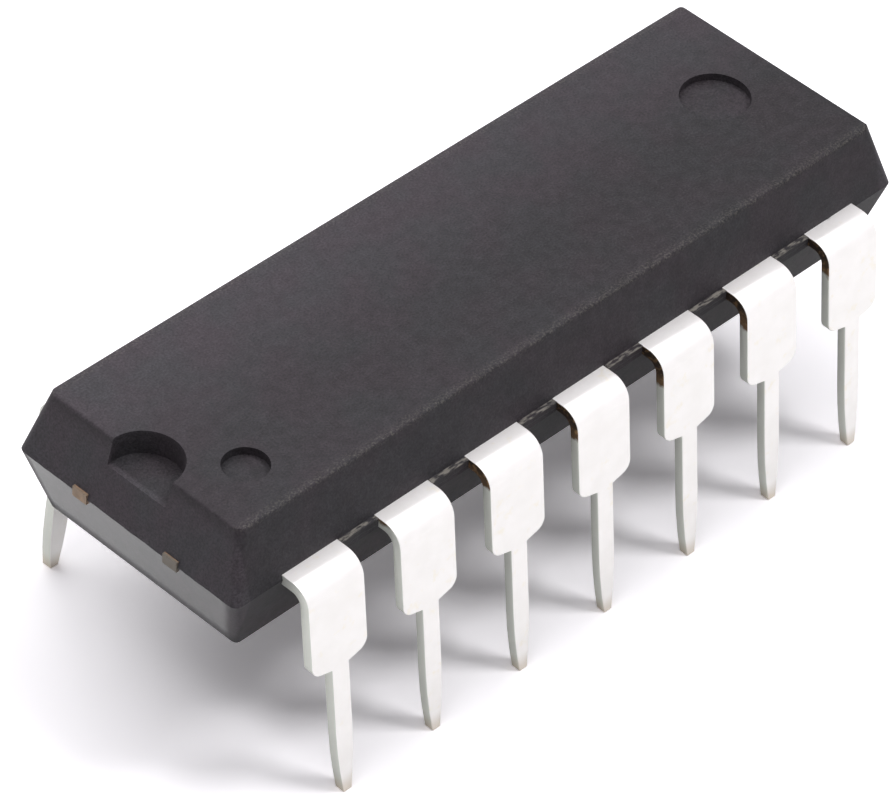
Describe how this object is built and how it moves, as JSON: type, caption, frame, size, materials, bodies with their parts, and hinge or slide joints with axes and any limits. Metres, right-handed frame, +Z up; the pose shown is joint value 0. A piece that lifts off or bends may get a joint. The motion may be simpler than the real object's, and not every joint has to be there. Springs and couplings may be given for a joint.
{
  "type": "dip integrated circuit chip",
  "caption": "Black plastic dual in-line package with two rows of bent flat leads, a half-round end notch and a round dimple beside the first lead.",
  "frame": {"origin": "under the middle of the body, on the plane that the tips of the leads stand on", "axes": "+X along the body, away from the end with the notch and the dimple; +Y across the body, with leads 1 to 7 on the -Y side and 8 to 14 on the +Y side; +Z up, out of the body's top face"},
  "size_m": [0.0194, 0.009, 0.0069],
  "materials": {
    "moulding_compound": "matt black moulded epoxy with a fine grain",
    "tinned_lead": "matt tin plate over copper alloy",
    "bare_copper": "bare stamped copper alloy",
    "die_adhesive": "silver-filled epoxy",
    "silicon": "polished silicon",
    "gold_wire": "drawn gold wire"
  },
  "bodies": {
    "root": {"body": "moulding_compound", "die_paddle": "bare_copper", "die_attach": "die_adhesive", "die": "silicon", "lead_1": "tinned_lead", "lead_2": "tinned_lead", "lead_3": "tinned_lead", "lead_4": "tinned_lead", "lead_5": "tinned_lead", "lead_6": "tinned_lead", "lead_7": "tinned_lead", "lead_8": "tinned_lead", "lead_9": "tinned_lead", "lead_10": "tinned_lead", "lead_11": "tinned_lead", "lead_12": "tinned_lead", "lead_13": "tinned_lead", "lead_14": "tinned_lead", "bond_wire_1": "gold_wire", "bond_wire_2": "gold_wire", "bond_wire_3": "gold_wire", "bond_wire_4": "gold_wire", "bond_wire_5": "gold_wire", "bond_wire_6": "gold_wire", "bond_wire_7": "gold_wire", "bond_wire_8": "gold_wire", "bond_wire_9": "gold_wire", "bond_wire_10": "gold_wire", "bond_wire_11": "gold_wire", "bond_wire_12": "gold_wire", "bond_wire_13": "gold_wire", "bond_wire_14": "gold_wire"}
  },
  "joints": []
}
